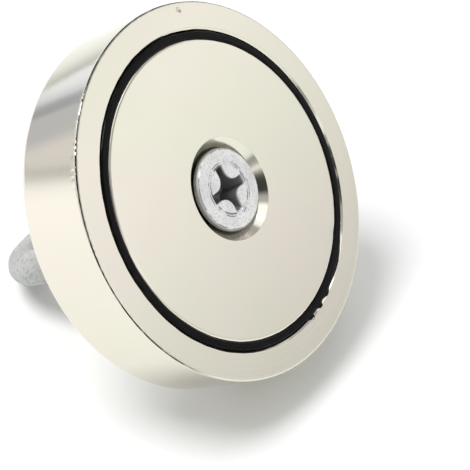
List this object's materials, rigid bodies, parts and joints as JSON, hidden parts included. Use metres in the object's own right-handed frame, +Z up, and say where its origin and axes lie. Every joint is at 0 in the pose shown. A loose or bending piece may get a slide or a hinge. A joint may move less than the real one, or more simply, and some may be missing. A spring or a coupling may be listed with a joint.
{
  "type": "magnet fishing magnet",
  "caption": "Single-sided round pot magnet for magnet fishing, countersunk screw through its centre and a lifting eye nut for a rope on its back",
  "frame": {"origin": "centre of the bounding box, on the ground plane that the magnet lies on", "axes": "+Z up as the magnet lies at rest; +X along the width of the eye's ring; the working face looks along (0, -0.812, 0.584), towards -Y and upwards"},
  "size_m": [0.067, 0.0673, 0.0624],
  "materials": {
    "pot_nickel": "bright nickel plate on turned steel",
    "magnet_nickel": "bright nickel plate on sintered magnet",
    "clear_glue": "cured adhesive",
    "black_epoxy": "glossy cast epoxy",
    "matte_zinc": "matte zinc plate",
    "cast_zinc": "blasted, zinc plated forging"
  },
  "bodies": {
    "eye": {"eye_nut": "cast_zinc"},
    "washer": {"spring_washer": "matte_zinc"},
    "magnet": {"pot_cup": "pot_nickel", "ring_magnet": "magnet_nickel", "adhesive_bed": "clear_glue", "epoxy_seal_ring": "black_epoxy", "countersunk_screw": "matte_zinc", "hex_nut": "matte_zinc"}
  },
  "joints": [
    {"name": "unscrew_travel", "type": "slide", "parent": "eye", "child": "washer", "axis": [0, -0.8118, 0.5839], "range_m": [0, 0.00625]},
    {"name": "unscrew_turn", "type": "hinge", "parent": "washer", "child": "magnet", "pos_m": [0, -0.0144, 0.03556], "axis": [0, -0.8118, 0.5839], "range_deg": [0, 1800]}
  ],
  "couplings": [
    {"joint": "unscrew_travel", "follows": "unscrew_turn", "m_per_rad": 0.00019894}
  ]
}
